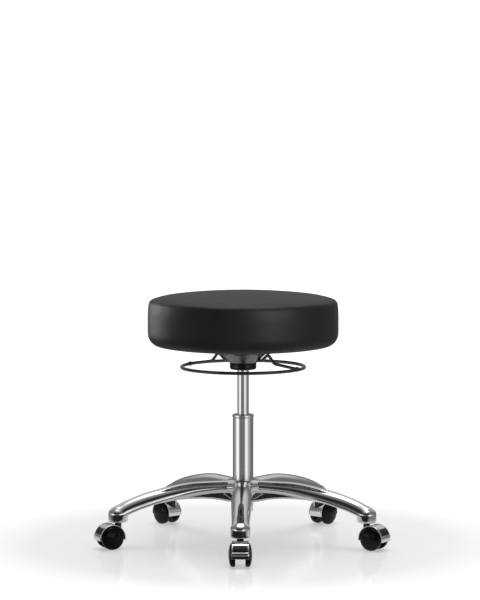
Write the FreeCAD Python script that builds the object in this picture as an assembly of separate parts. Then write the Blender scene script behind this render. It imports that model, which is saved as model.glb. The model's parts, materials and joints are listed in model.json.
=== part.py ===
import FreeCAD, Part
import math
import os

# Rolling stylist stool. Millimetres, +Z up. The origin is on the floor, on the
# axis of the column. One leg of the base points along -Y.

V = FreeCAD.Vector
os.makedirs("parts", exist_ok=True)

# ---------------------------------------------------------------- dimensions
SEAT_R = 230.0            # outside radius of the upholstered seat
SEAT_BOTTOM = 473.0       # underside of the cover where it wraps the board
SEAT_CROWN = 602.0        # highest point of the cushion
COVER_T = 1.2             # vinyl thickness
BOARD_R = 196.0
BOARD_T = 14.0
PLATE_SIZE = 160.0        # square seat plate
PLATE_T = 3.0
BOLT_PITCH = 60.0         # plate bolts at +-60, +-60
BOLT_R = 4.0

GAS_R = 14.0              # gas spring tube, 28 mm across
GAS_BORE = 12.0
GAS_BOTTOM = 192.0
GAS_TOP = 455.0
TAPER_START = 410.0       # the tube's top 45 mm is tapered
TAPER_DROP = 0.7
ROD_R = 5.0
PIN_R = 4.0               # valve pin
PIN_TOP = 462.0

COLUMN_R = 25.0           # column tube, 50 mm across
COLUMN_BORE = 23.0
COLUMN_TOP = 303.0
COLUMN_BOTTOM = 75.0
COLLAR_R = 26.0
COLLAR_TOP = 309.0

RING_R = 147.0            # centreline radius of the ring lever
RING_WIRE = 4.0
RING_Z = 423.0
SPOKE_WIRE = 3.75
SPOKE_AZ = -25.0          # the two spokes lie on one line through the axis
YOKE_PIN_Z = 446.0
YOKE_PIN_R = 3.0
FULCRUM_U = 66.8          # where the spoke's tall bend bears up under a lug of the housing
FULCRUM_Z = 452.5         # centreline height of that bend
LUG_Z = FULCRUM_Z + SPOKE_WIRE + 0.1

STEM_CIRCLE = 309.5       # radius of the circle of caster stems
LEG_AZ = [-90.0, -18.0, 54.0, 126.0, 198.0]
CASTER_TRAIL_AZ = [-88.8, -31.8, 50.2, 134.2, 206.2]
HUB_R = 33.0
HUB_TOP = 152.0
HUB_BOTTOM = 97.0
BOSS_R = 23.5
BOSS_BOTTOM = 63.0
SOCKET_R = 8.0
STEM_R = 5.5
COLLAR_FLANGE_R = 8.0
PINTLE_R = 4.0

WHEEL_R = 27.5
TRAIL = 21.0              # stem axis to axle
AXLE_R = 3.0
HOOD_R = 32.4
HOOD_BAND_R = 33.0
HOOD_IN = 30.5
HOOD_HALF = 20.0
RUN = 0.05                # running clearance on the radius


# ------------------------------------------------------------------- helpers
def cyl(r, z0, z1, x=0.0, y=0.0):
    return Part.makeCylinder(r, z1 - z0, V(x, y, z0), V(0, 0, 1))


def ycyl(r, y0, y1, x, z):
    return Part.makeCylinder(r, y1 - y0, V(x, y0, z), V(0, 1, 0))


def tube(ro, ri, z0, z1, x=0.0, y=0.0):
    return cyl(ro, z0, z1, x, y).cut(cyl(ri, z0 - 1, z1 + 1, x, y))


def box(x0, x1, y0, y1, z0, z1):
    return Part.makeBox(x1 - x0, y1 - y0, z1 - z0, V(x0, y0, z0))


def path(items, closed=True):
    """Edges through (r, z) points; ("a", mid, end) makes an arc by three points."""
    edges, here, first = [], None, None
    for it in items:
        if it[0] == "a":
            m, e = it[1], it[2]
            edges.append(Part.Arc(V(here[0], 0, here[1]), V(m[0], 0, m[1]), V(e[0], 0, e[1])).toShape())
            here = e
        else:
            if here is not None:
                edges.append(Part.LineSegment(V(here[0], 0, here[1]), V(it[0], 0, it[1])).toShape())
            else:
                first = it
            here = it
    if closed and (abs(here[0] - first[0]) > 1e-9 or abs(here[1] - first[1]) > 1e-9):
        edges.append(Part.LineSegment(V(here[0], 0, here[1]), V(first[0], 0, first[1])).toShape())
    return Part.Wire(edges)


def revolved(items):
    return Part.Face(path(items)).revolve(V(0, 0, 0), V(0, 0, 1), 360)


def turned(shape, az, x=0.0, y=0.0):
    s = shape.copy()
    s.rotate(V(0, 0, 0), V(0, 0, 1), az)
    s.translate(V(x, y, 0))
    return s


def joined(shapes):
    s = shapes[0]
    if len(shapes) > 1:
        s = s.fuse(shapes[1:])
    return s.removeSplitter()


def group(shapes):
    out = []
    for s in shapes:
        out += s.Solids
    return Part.makeCompound(out)


def save(name, shape):
    solids = shape.Solids
    for s in solids:
        if not s.isValid() or s.Volume <= 0:
            print("CHECK", name, s.isValid(), s.Volume)
    out = solids[0] if len(solids) == 1 else Part.makeCompound(solids)
    out.exportStep("parts/%s.step" % name)
    print("%-24s solids %2d  volume %10.1f" % (name, len(solids), sum(s.Volume for s in solids)))


# ---------------------------------------------------------------------- seat
BOARD_Z0 = SEAT_BOTTOM + COVER_T
BOARD_Z1 = BOARD_Z0 + BOARD_T
CI = SEAT_R - COVER_T
FILLET_C = (199.0, 504.0)          # centre of the bottom edge's rounding
F_OUT = SEAT_R - FILLET_C[0]
F_IN = F_OUT - COVER_T
s45 = math.sqrt(0.5)

outer_side = [
    (0.0, SEAT_CROWN),
    (4.0, SEAT_CROWN),
    ("a", (110.0, 598.0), (216.0, 586.0)),
    ("a", (226.2, 580.4), (SEAT_R, 571.0)),
    (SEAT_R, FILLET_C[1]),
    ("a", (FILLET_C[0] + F_OUT * s45, FILLET_C[1] - F_OUT * s45), (FILLET_C[0], SEAT_BOTTOM)),
]
seat_cover = revolved(
    outer_side
    + [
        (176.0, SEAT_BOTTOM),
        (176.0, BOARD_Z0),
        (FILLET_C[0], BOARD_Z0),
        ("a", (FILLET_C[0] + F_IN * s45, FILLET_C[1] - F_IN * s45), (CI, FILLET_C[1])),
        (CI, 571.0),
        ("a", (225.2, 579.6), (215.6, 584.8)),
        ("a", (109.8, 596.8), (4.0, SEAT_CROWN - COVER_T)),
        (0.0, SEAT_CROWN - COVER_T),
    ]
)
seat_foam = revolved(
    [
        (0.0, BOARD_Z1),
        (BOARD_R, BOARD_Z1),
        (BOARD_R, BOARD_Z0),
        (FILLET_C[0], BOARD_Z0),
        ("a", (FILLET_C[0] + F_IN * s45, FILLET_C[1] - F_IN * s45), (CI, FILLET_C[1])),
        (CI, 571.0),
        ("a", (225.2, 579.6), (215.6, 584.8)),
        ("a", (109.8, 596.8), (4.0, SEAT_CROWN - COVER_T)),
        (0.0, SEAT_CROWN - COVER_T),
    ]
)

# felt dust cover: a flat disc against the board, its rim lapping the cover's edge
PLATE_Z1 = BOARD_Z0 - 0.8
PLATE_Z0 = PLATE_Z1 - PLATE_T
dust_cover = revolved(
    [
        (0.0, PLATE_Z1),
        (172.0, PLATE_Z1),
        (174.0, 472.2),
        (188.0, 472.2),
        (188.0, SEAT_BOTTOM),
        (175.2, SEAT_BOTTOM),
        (175.2, BOARD_Z0),
        (0.0, BOARD_Z0),
    ]
)
bolt_xy = [(sx * BOLT_PITCH, sy * BOLT_PITCH) for sx in (1, -1) for sy in (1, -1)]
for bx, by in bolt_xy:
    dust_cover = dust_cover.cut(cyl(5.2, 470, 476, bx, by))

# staples along the cover's turned edge
staples = []
for i in range(20):
    a = 9.0 + 18.0 * i
    crown = box(180.9, 182.1, -5.0, 5.0, 471.6, 472.2)
    leg1 = box(180.9, 182.1, -5.0, -4.3, 471.9, 480.0)
    leg2 = box(180.9, 182.1, 4.3, 5.0, 471.9, 480.0)
    staples.append(turned(joined([crown, leg1, leg2]), a))
cover_staples = group(staples)
seat_cover = seat_cover.cut(cover_staples)
dust_cover = dust_cover.cut(cover_staples)

# plywood board with tee nuts let into its top face
board = cyl(BOARD_R, BOARD_Z0, BOARD_Z1)
tee_nuts = []
for bx, by in bolt_xy:
    board = board.cut(cyl(5.0, BOARD_Z0 - 1, BOARD_Z1 + 1, bx, by))
    board = board.cut(cyl(9.5, BOARD_Z1 - 1.5, BOARD_Z1 + 1, bx, by))
    nut = joined([tube(9.5, BOLT_R, BOARD_Z1 - 1.5, BOARD_Z1, bx, by), tube(5.0, BOLT_R, 476.0, BOARD_Z1 - 1.4, bx, by)])
    tee_nuts.append(nut)
board = board.cut(cover_staples)

# seat plate: square, rounded corners, four bolts
H = PLATE_SIZE / 2
CORNER = 20.0
plate = joined(
    [box(-H, H, -H + CORNER, H - CORNER, PLATE_Z0, PLATE_Z1), box(-H + CORNER, H - CORNER, -H, H, PLATE_Z0, PLATE_Z1)]
    + [cyl(CORNER, PLATE_Z0, PLATE_Z1, sx * (H - CORNER), sy * (H - CORNER)) for sx in (1, -1) for sy in (1, -1)]
)
bolts = []
for bx, by in bolt_xy:
    plate = plate.cut(cyl(4.5, PLATE_Z0 - 1, PLATE_Z1 + 1, bx, by))
    hexa = Part.Face(Part.makePolygon([V(bx + 7.5 * math.cos(math.radians(60 * k)), by + 7.5 * math.sin(math.radians(60 * k)), PLATE_Z0 - 6.4) for k in range(7)])).extrude(V(0, 0, 5.4))
    bolts.append(joined([hexa, cyl(8.5, PLATE_Z0 - 1.2, PLATE_Z0, bx, by), cyl(BOLT_R, PLATE_Z0 - 0.5, 486.0, bx, by)]))

save("seat_cover", seat_cover)
save("seat_foam", seat_foam)
save("seat_board", board)
save("dust_cover", dust_cover)
save("cover_staples", cover_staples)
save("seat_plate", plate)
save("seat_plate_bolts", group(bolts))
save("tee_nuts", group(tee_nuts))

# ------------------------------------------------- bell housing, socket, cap
bell = revolved(
    [
        (19.0, 434.0),
        (33.6, 434.0),
        (54.0, 453.9),
        (57.0, 454.6),
        (57.0, 458.0),
        (55.4, 458.9),
        (64.0, PLATE_Z0 - 2.8),
        (72.0, PLATE_Z0 - 2.8),
        (72.0, PLATE_Z0),
        (62.6, PLATE_Z0),
        (52.6, 459.3),
        (52.6, 455.8),
        (32.7, 436.0),
        (19.0, 436.0),
    ]
)
# a window on each side lets a spoke of the lever through, and a lug over it bears the spoke's bend
for a in (SPOKE_AZ, SPOKE_AZ + 180.0):
    bell = bell.cut(turned(box(30.0, 56.0, -6.0, 6.0, 436.2, 449.5), a))
    bell = bell.fuse(turned(box(61.0, 71.0, -4.5, 4.5, LUG_Z, PLATE_Z0 - 1.0), a))
bell = bell.removeSplitter()
save("bell_housing", bell)


def taper_r(z):
    return GAS_R - TAPER_DROP * (z - TAPER_START) / (GAS_TOP - TAPER_START)


socket = revolved([(taper_r(420.0), 420.0), (19.0, 420.0), (19.0, 452.0), (taper_r(452.0), 452.0)])
save("taper_socket", socket)
hub_cap = revolved(
    [
        (14.3, 417.0),
        (27.0, 417.0),
        ("a", (27.0 + 5 * s45, 422.0 - 5 * s45), (32.0, 422.0)),
        (32.0, 434.0),
        (29.8, 434.0),
        (29.8, 422.4),
        (27.0, 419.4),
        (14.3, 419.4),
    ]
)
save("hub_cap", hub_cap)

# -------------------------------------------------------------- gas spring
gas_tube = revolved(
    [
        (GAS_BORE, GAS_BOTTOM),
        (13.4, GAS_BOTTOM),
        (GAS_R, GAS_BOTTOM + 0.6),
        (GAS_R, TAPER_START),
        (taper_r(GAS_TOP), GAS_TOP),
        (GAS_BORE, GAS_TOP),
    ]
)
save("gas_tube", gas_tube)
save("gas_tube_gland", tube(GAS_BORE, ROD_R + RUN, GAS_BOTTOM + 0.5, 206.0))
save("gas_valve_body", tube(GAS_BORE, PIN_R + RUN, 428.0, GAS_TOP))
valve_pin = revolved([(0.0, 432.0), (PIN_R, 432.0), (PIN_R, PIN_TOP - 1.2), ("a", (2.6, PIN_TOP - 0.38), (1.0, PIN_TOP)), (0.0, PIN_TOP)])
save("valve_pin", valve_pin)
piston_rod = revolved(
    [
        (0.0, 71.0),
        (3.4, 71.0),
        (4.0, 71.6),
        (4.0, 73.0),
        (3.2, 73.0),
        (3.2, 74.2),
        (4.0, 74.2),
        (4.0, 89.0),
        (ROD_R, 89.0),
        (ROD_R, 219.0),
        (0.0, 219.0),
    ]
)
save("piston_rod", piston_rod)
save("piston_head", tube(GAS_BORE - RUN, ROD_R, 207.0, 219.0))
clip = tube(7.6, 3.2, 73.05, 74.15).cut(box(-2.6, 2.6, 0.0, 9.0, 70, 77))
save("rod_clip", clip)
save("thrust_washer_lower", tube(13.0, 4.6, 80.0, 82.0))
save("thrust_washer_upper", tube(13.0, 4.0, 87.0, 89.0))
cage = tube(12.6, 5.4, 83.4, 85.6)
balls = []
for i in range(10):
    a = math.radians(36.0 * i)
    c = V(9.2 * math.cos(a), 9.2 * math.sin(a), 84.5)
    cage = cage.cut(Part.makeSphere(2.55, c))
    balls.append(Part.makeSphere(2.48, c))
save("thrust_bearing", group([cage] + balls))

# ------------------------------------------------------------------- column
column = revolved(
    [
        (PINTLE_R + RUN, COLUMN_BOTTOM),
        (24.3, COLUMN_BOTTOM),
        (24.3, HUB_BOTTOM),
        (COLUMN_R, HUB_TOP - 2.0),
        (COLUMN_R, COLUMN_TOP),
        (COLUMN_BORE, COLUMN_TOP),
        (COLUMN_BORE, 80.0),
        (PINTLE_R + RUN, 80.0),
    ]
)
save("column_tube", column)
bush = revolved(
    [
        (GAS_R + RUN, 222.0),
        (COLUMN_BORE, 222.0),
        (COLUMN_BORE, 299.0),
        (GAS_R + RUN, 299.0),
        (GAS_R + RUN, 280.0),
        (16.0, 278.0),
        (16.0, 243.0),
        (GAS_R + RUN, 241.0),
    ]
)
save("column_guide_bush", bush)
collar = revolved(
    [
        (14.6, COLLAR_TOP),
        (24.8, COLLAR_TOP),
        (COLLAR_R, COLLAR_TOP - 1.2),
        (COLLAR_R, COLUMN_TOP),
        (COLUMN_BORE, COLUMN_TOP),
        (COLUMN_BORE, 299.0),
        (20.0, 299.0),
        (20.0, 305.0),
        (14.6, 305.0),
    ]
)
save("column_collar", collar)

# ------------------------------------------------------------ release lever
# stirrup over the valve pin, in a frame whose X runs along the spokes
yoke = joined(
    [
        box(-31.0, 31.0, -5.0, 5.0, PIN_TOP + 0.05, PIN_TOP + 4.55),
        box(27.0, 31.0, -5.0, 5.0, YOKE_PIN_Z, PIN_TOP + 4.55),
        box(-31.0, -27.0, -5.0, 5.0, YOKE_PIN_Z, PIN_TOP + 4.55),
        Part.makeCylinder(5.0, 4.0, V(27.0, 0, YOKE_PIN_Z), V(1, 0, 0)),
        Part.makeCylinder(5.0, 4.0, V(-31.0, 0, YOKE_PIN_Z), V(1, 0, 0)),
    ]
)
yoke = yoke.cut(Part.makeCylinder(YOKE_PIN_R + RUN, 80.0, V(-40.0, 0, YOKE_PIN_Z), V(1, 0, 0)))
save("release_yoke", turned(yoke, SPOKE_AZ))

ring = Part.makeTorus(RING_R, RING_WIRE, V(0, 0, RING_Z), V(0, 0, 1))
save("lever_ring", ring)


def bent(points):
    """A wire of straight runs and tangent arcs: points are (u, z, bend radius)."""
    pts = [V(p[0], 0, p[1]) for p in points]
    edges, here = [], pts[0]
    for i in range(1, len(pts) - 1):
        a = (pts[i - 1] - pts[i]).normalize()
        b = (pts[i + 1] - pts[i]).normalize()
        half = math.acos(max(-1, min(1, a.dot(b)))) / 2
        r = points[i][2]
        t = r / math.tan(half)
        p0, p1 = pts[i] + a * t, pts[i] + b * t
        m = (a + b).normalize()
        mid = pts[i] + m * (r / math.sin(half) - r)
        edges.append(Part.LineSegment(here, p0).toShape())
        edges.append(Part.Arc(p0, mid, p1).toShape())
        here = p1
    edges.append(Part.LineSegment(here, pts[-1]).toShape())
    return Part.Wire(edges), edges


# the tall bend's corner height is solved so its centreline just reaches the fulcrum
corner = FULCRUM_Z + 6.0
for _ in range(40):
    pts = [(RING_R, RING_Z + 0.6, 0), (83.0, 433.6, 12.0), (FULCRUM_U - 0.5, corner, 6.0), (47.6, 437.6, 5.5), (36.6, YOKE_PIN_Z, 4.5), (32.5, YOKE_PIN_Z, 0)]
    w, es = bent(pts)
    top = max(v.z for v in es[3].discretize(60))
    corner += FULCRUM_Z - top
print("lever bend: corner at", round(corner, 3), "top", round(top, 3))
start = es[0].Vertexes[0].Point
d = es[0].tangentAt(es[0].FirstParameter)
prof = Part.Wire(Part.makeCircle(SPOKE_WIRE, start, d))
spoke = w.makePipeShell([prof], True, False)
pin = Part.makeCylinder(YOKE_PIN_R, 7.0, V(26.0, 0, YOKE_PIN_Z), V(1, 0, 0))
bead = Part.makeSphere(6.0, V(RING_R - 5.0, 0, RING_Z + 1.4))
one = joined([spoke, pin, bead])
trim = Part.makeTorus(RING_R, RING_WIRE, V(0, 0, RING_Z), V(0, 0, 1))
one = one.cut(trim)
keep = [s for s in one.Solids if s.Volume > 500]
one = keep[0] if len(keep) == 1 else Part.makeCompound(keep)
outside = cyl(RING_R + 20, RING_Z - 30, RING_Z + 60).cut(cyl(RING_R + 0.5, RING_Z - 31, RING_Z + 61))
one = one.cut(outside)
one = max(one.Solids, key=lambda s: s.Volume)
save("lever_spokes", group([turned(one, SPOKE_AZ), turned(one, SPOKE_AZ + 180.0)]))

# ---------------------------------------------------------------- star base
#        r,    ridge z, half width, rim bottom z
LEG = [
    (12.0, 150.8, 21.5, 127.0),
    (42.0, 150.9, 22.0, 127.0),
    (68.0, 151.0, 22.5, 127.6),
    (93.0, 151.0, 23.0, 126.4),
    (119.0, 150.8, 23.6, 124.2),
    (144.0, 148.8, 24.3, 120.6),
    (169.0, 145.2, 24.5, 115.6),
    (194.0, 140.4, 24.1, 110.4),
    (216.0, 135.4, 23.4, 104.8),
    (242.0, 129.0, 22.5, 97.0),
    (267.0, 121.0, 21.4, 89.0),
    (292.0, 111.5, 20.8, 79.0),
    (309.5, 102.0, 20.4, 70.0),
]
WEB = [
    (12.0, 96.0),
    (31.0, 97.5),
    (42.0, 100.5),
    (68.0, 106.0),
    (93.0, 109.3),
    (119.0, 110.8),
    (144.0, 110.8),
    (169.0, 109.4),
    (194.0, 106.6),
    (225.0, 101.6),
]


def at(table, r, k):
    for a, b in zip(table, table[1:]):
        if a[0] <= r <= b[0]:
            t = (r - a[0]) / (b[0] - a[0])
            return a[k] + (b[k] - a[k]) * t
    return table[-1][k] if r > table[-1][0] else table[0][k]


def section(r, pts):
    return Part.makePolygon([V(r, y, z) for y, z in pts] + [V(r, pts[0][0], pts[0][1])])


def leg_section(r, zt, w, zb):
    zs = zt - 8.5
    return section(r, [(-w + 2, zb), (w - 2, zb), (w, zb + 2.5), (w, zs), (w * 0.72, zt - 3.6), (w * 0.3, zt - 0.7), (0, zt), (-w * 0.3, zt - 0.7), (-w * 0.72, zt - 3.6), (-w, zs), (-w, zb + 2.5)])


roof = Part.makeLoft([leg_section(*row) for row in LEG], True, True)
web = Part.makeLoft([section(r, [(-15, z), (15, z), (16.5, at(LEG, r, 3) + 1.5), (-16.5, at(LEG, r, 3) + 1.5)]) for r, z in WEB], True, True)
hollow_r = [44.0, 68.0, 93.0, 119.0, 144.0, 169.0, 194.0, 216.0, 242.0, 267.0, 280.0]
hollow = Part.makeLoft([section(r, [(-11, at(LEG, r, 3) - 40), (11, at(LEG, r, 3) - 40), (10, at(LEG, r, 1) - 11), (-10, at(LEG, r, 1) - 11)]) for r in hollow_r], True, True)
boss = revolved([(0, BOSS_BOTTOM), (22.3, BOSS_BOTTOM), (BOSS_R, BOSS_BOTTOM + 1.6), (BOSS_R, 84.0), (22.6, 88.0), (19.5, 92.4), (12.5, 98.0), (5.0, 101.4), (0, 102.4)])
boss.translate(V(STEM_CIRCLE, 0, 0))
leg = joined([roof, web]).cut(hollow)
leg = joined([leg, boss])
leg = leg.cut(cyl(SOCKET_R, BOSS_BOTTOM - 1, 86.0, STEM_CIRCLE))
hub = revolved([(0, 96.0), (HUB_R - 1, 96.0), (HUB_R, HUB_BOTTOM), (HUB_R + 2, 126.0), (46.0, 131.0), (50.0, 136.0), (50.0, 143.0), (44.0, 148.6), (36.0, 151.2), (HUB_R, HUB_TOP), (0, HUB_TOP)])
star = joined([hub] + [turned(leg, a) for a in LEG_AZ])
bore = revolved([(0, 90.0), (24.3, 90.0), (24.3, HUB_BOTTOM), (COLUMN_R, HUB_TOP - 2.0), (COLUMN_R, HUB_TOP + 5), (0, HUB_TOP + 5)])
star = star.cut(bore)
save("star_base", star)

stem_sockets, stems, grips = [], [], []
for a in LEG_AZ:
    x, y = STEM_CIRCLE * math.cos(math.radians(a)), STEM_CIRCLE * math.sin(math.radians(a))
    stem_sockets.append(tube(SOCKET_R, STEM_R + 0.1, BOSS_BOTTOM, 86.0, x, y))
    stem = revolved(
        [
            (0.0, 38.5),
            (PINTLE_R - 0.5, 38.5),
            (PINTLE_R, 39.0),
            (PINTLE_R, 57.2),
            (COLLAR_FLANGE_R, 57.2),
            (COLLAR_FLANGE_R, BOSS_BOTTOM),
            (STEM_R, BOSS_BOTTOM),
            (STEM_R, 75.8),
            (4.8, 75.8),
            (4.8, 79.2),
            (STEM_R, 79.2),
            (STEM_R, 83.5),
            (4.2, 85.0),
            (0.0, 85.0),
        ]
    )
    stems.append(turned(stem, 0, x, y))
    grip = tube(STEM_R + 0.1, 4.8, 76.0, 79.0).cut(box(0, 9, -0.8, 0.8, 70, 90))
    grips.append(turned(grip, a, x, y))
save("stem_sockets", group(stem_sockets))
save("caster_stems", group(stems))
save("stem_grip_rings", group(grips))


# ------------------------------------------------------------------ casters
# one caster about its stem axis, the axle along Y at +X
def sector(r0, r1, a0, a1, half):
    """A band of a ring round the axle, between two angles up from +X."""
    c0, c1 = math.radians(a0), math.radians(a1)
    m = (c0 + c1) / 2

    def p(r, c):
        return V(TRAIL + r * math.cos(c), -half, WHEEL_R + r * math.sin(c))

    e = [
        Part.Arc(p(r1, c0), p(r1, m), p(r1, c1)).toShape(),
        Part.LineSegment(p(r1, c1), p(r0, c1)).toShape(),
        Part.Arc(p(r0, c1), p(r0, m), p(r0, c0)).toShape(),
        Part.LineSegment(p(r0, c0), p(r1, c0)).toShape(),
    ]
    return Part.Face(Part.Wire(e)).extrude(V(0, 2 * half, 0))


core_web = sector(2.0, HOOD_IN, 0.0, 180.0, 4.0)
panel = joined([sector(28.8, HOOD_IN, 14.0, 51.0, 18.0), sector(HOOD_IN - 0.3, HOOD_R - 0.6, 17.6, 47.4, 16.6)])
core = joined(
    [
        core_web,
        ycyl(7.0, -10.2, 10.2, TRAIL, WHEEL_R),
        box(TRAIL - 6, TRAIL + 6, -4.0, 4.0, WHEEL_R - 6.0, WHEEL_R + 4),
        cyl(7.9, 37.0, 57.0),
        panel,
    ]
)
# the stem boss stays inside the hood's shell below the hole it comes up through
core = core.cut(cyl(PINTLE_R + RUN, 38.0, 60.0))
core = core.cut(ycyl(AXLE_R, -12, 12, TRAIL, WHEEL_R))
shell = joined([sector(HOOD_IN, HOOD_R, -9.0, 189.0, HOOD_HALF), sector(HOOD_IN, HOOD_BAND_R, -9.0, 17.0, HOOD_HALF), sector(HOOD_IN, HOOD_BAND_R, 163.0, 189.0, HOOD_HALF), sector(HOOD_IN, HOOD_BAND_R - 0.2, 48.5, 56.0, HOOD_HALF)])
shell = shell.cut(sector(HOOD_IN - 2, HOOD_BAND_R + 2, 17.4, 47.6, 16.8))
shell = shell.cut(cyl(8.0, 30.0, 62.0))
shell = max(shell.Solids, key=lambda s: s.Volume)
hood = shell.cut(core)
hood = max(hood.Solids, key=lambda s: s.Volume)
axle = ycyl(AXLE_R, -23.0, 23.0, TRAIL, WHEEL_R)


def wheel(side):
    w = Part.Face(
        path(
            [
                (AXLE_R + RUN, 10.3),
                (7.0, 10.3),
                (7.0, 11.4),
                (25.8, 11.4),
                (WHEEL_R, 12.9),
                (WHEEL_R, 18.6),
                ("a", (26.7, 21.2), (24.6, 23.2)),
                ("a", (13.2, 26.4), (2.0, 27.4)),
                (0.0, 27.4),
                (0.0, 23.2),
                (AXLE_R + RUN, 23.2),
            ]
        )
    ).revolve(V(0, 0, 0), V(0, 0, 1), 360)
    w.rotate(V(0, 0, 0), V(1, 0, 0), -90.0 * side)
    w.translate(V(TRAIL, 0, WHEEL_R))
    return w


wheel_l, wheel_r = wheel(1), wheel(-1)
for n, (a, t) in enumerate(zip(LEG_AZ, CASTER_TRAIL_AZ), 1):
    x, y = STEM_CIRCLE * math.cos(math.radians(a)), STEM_CIRCLE * math.sin(math.radians(a))
    for name, s in (("hood", hood), ("core", core), ("axle", axle), ("wheel_left", wheel_l), ("wheel_right", wheel_r)):
        save("caster_%d_%s" % (n, name), turned(s, t, x, y))
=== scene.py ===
import json
import math

import bmesh
import bpy
import numpy as np
from mathutils import Matrix, Vector, noise


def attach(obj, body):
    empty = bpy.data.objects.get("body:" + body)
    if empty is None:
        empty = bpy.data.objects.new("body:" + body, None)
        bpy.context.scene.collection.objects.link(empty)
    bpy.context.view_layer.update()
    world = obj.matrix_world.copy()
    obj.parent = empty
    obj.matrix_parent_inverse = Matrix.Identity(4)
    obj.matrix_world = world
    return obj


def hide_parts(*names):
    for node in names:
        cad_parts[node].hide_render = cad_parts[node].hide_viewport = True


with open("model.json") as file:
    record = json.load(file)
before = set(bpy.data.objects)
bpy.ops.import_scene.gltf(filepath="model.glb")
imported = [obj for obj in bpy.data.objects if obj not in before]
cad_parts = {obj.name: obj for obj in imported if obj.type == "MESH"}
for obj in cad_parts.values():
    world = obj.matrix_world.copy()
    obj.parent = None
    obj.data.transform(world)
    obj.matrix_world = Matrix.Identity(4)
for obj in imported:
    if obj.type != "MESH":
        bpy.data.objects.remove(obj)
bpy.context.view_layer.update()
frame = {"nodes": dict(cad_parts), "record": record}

MM = 0.001
nodes = frame["nodes"]

# ------------------------------------------------------------- shared sizes
STEM_CIRCLE = 309.5
LEG_AZ = [-90.0, -18.0, 54.0, 126.0, 198.0]
TRAIL_AZ = [-88.8, -31.8, 50.2, 134.2, 206.2]
TRAIL, WHEEL_R = 21.0, 27.5
SPOKE_AZ = -25.0


# ------------------------------------------------------------- mesh helpers
def obj_from(name, verts, faces, material, scale=MM):
    me = bpy.data.meshes.new(name)
    me.from_pydata([tuple(c * scale for c in v) for v in verts], [], faces)
    me.validate()
    me.update()
    ob = bpy.data.objects.new(name, me)
    bpy.context.scene.collection.objects.link(ob)
    if material:
        me.materials.append(material)
    return ob


def smooth(ob, angle=38.0):
    """Smooth faces with the edges over an angle kept crisp."""
    bm = bmesh.new()
    bm.from_mesh(ob.data)
    bmesh.ops.recalc_face_normals(bm, faces=bm.faces)
    lim = math.radians(angle)
    for f in bm.faces:
        f.smooth = True
    for e in bm.edges:
        e.smooth = not (len(e.link_faces) == 2 and e.calc_face_angle(0.0) > lim)
    bm.to_mesh(ob.data)
    bm.free()
    return ob


def weld(ob, d=1e-5):
    bm = bmesh.new()
    bm.from_mesh(ob.data)
    bmesh.ops.remove_doubles(bm, verts=bm.verts, dist=d)
    bm.to_mesh(ob.data)
    bm.free()
    return ob


def rounded(points, n=6):
    """Closed profile from (a, b, fillet) points, with each fillet as an arc."""
    out, m = [], len(points)
    for i in range(m):
        p = Vector(points[i][:2])
        r = points[i][2] if len(points[i]) > 2 else 0.0
        if r <= 0:
            out.append((p.x, p.y))
            continue
        a = (Vector(points[i - 1][:2]) - p)
        b = (Vector(points[(i + 1) % m][:2]) - p)
        la, lb = a.length, b.length
        a.normalize(); b.normalize()
        half = math.acos(max(-1.0, min(1.0, a.dot(b)))) / 2
        if half > math.pi / 2 - 0.01:
            out.append((p.x, p.y))
            continue
        t = min(r / math.tan(half), 0.49 * la, 0.49 * lb)
        r = t * math.tan(half)
        c = p + (a + b).normalized() * (r / math.sin(half))
        s, e = p + a * t - c, p + b * t - c
        a0, a1 = math.atan2(s.y, s.x), math.atan2(e.y, e.x)
        d = (a1 - a0 + math.pi) % (2 * math.pi) - math.pi
        for k in range(n + 1):
            ang = a0 + d * k / n
            out.append((c.x + r * math.cos(ang), c.y + r * math.sin(ang)))
    return out


def lathe(name, points, material, seg=128, closed=True, n=6, angle=38.0):
    """Turn an (r, z) profile about Z."""
    prof = rounded(points, n) if closed else [(p[0], p[1]) for p in points]
    verts, faces, rings = [], [], []
    for r, z in prof:
        if r < 1e-6:
            rings.append([len(verts)] * seg)
            verts.append((0, 0, z))
        else:
            rings.append(list(range(len(verts), len(verts) + seg)))
            for k in range(seg):
                t = 2 * math.pi * k / seg
                verts.append((r * math.cos(t), r * math.sin(t), z))
    m = len(prof)
    for i in range(m if closed else m - 1):
        A, B = rings[i], rings[(i + 1) % m]
        for k in range(seg):
            q = [A[k], A[(k + 1) % seg], B[(k + 1) % seg], B[k]]
            u = []
            for v in q:
                if v not in u:
                    u.append(v)
            if len(u) > 2:
                faces.append(u)
    return smooth(obj_from(name, verts, faces, material), angle)


def tube_along(name, pts, radius, material, ring=28, closed=False, caps=True):
    """Round wire along points, carried by parallel frames."""
    P = [Vector(p) for p in pts]
    m = len(P)
    T = []
    for i in range(m):
        a = P[(i - 1) % m] if (closed or i) else P[0]
        b = P[(i + 1) % m] if (closed or i < m - 1) else P[-1]
        T.append((b - a).normalized())
    N = T[0].orthogonal().normalized()
    verts, faces = [], []
    rad = radius if callable(radius) else (lambda i: radius)
    for i in range(m):
        N = (N - T[i] * N.dot(T[i])).normalized()
        B = T[i].cross(N)
        r = rad(i)
        for k in range(ring):
            t = 2 * math.pi * k / ring
            verts.append(P[i] + (N * math.cos(t) + B * math.sin(t)) * r)
    for i in range(m if closed else m - 1):
        j = (i + 1) % m
        for k in range(ring):
            l = (k + 1) % ring
            faces.append((i * ring + k, i * ring + l, j * ring + l, j * ring + k))
    if caps and not closed:
        faces.append(list(range(ring))[::-1])
        faces.append([(m - 1) * ring + k for k in range(ring)])
    return smooth(obj_from(name, [tuple(v) for v in verts], faces, material), 50)


def turn(ob, az, x=0.0, y=0.0):
    """Move a mesh's own points: turn about Z, then shift (mm)."""
    ob.data.transform(Matrix.Translation((x * MM, y * MM, 0)) @ Matrix.Rotation(math.radians(az), 4, "Z"))
    ob.data.update()
    return ob


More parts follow.
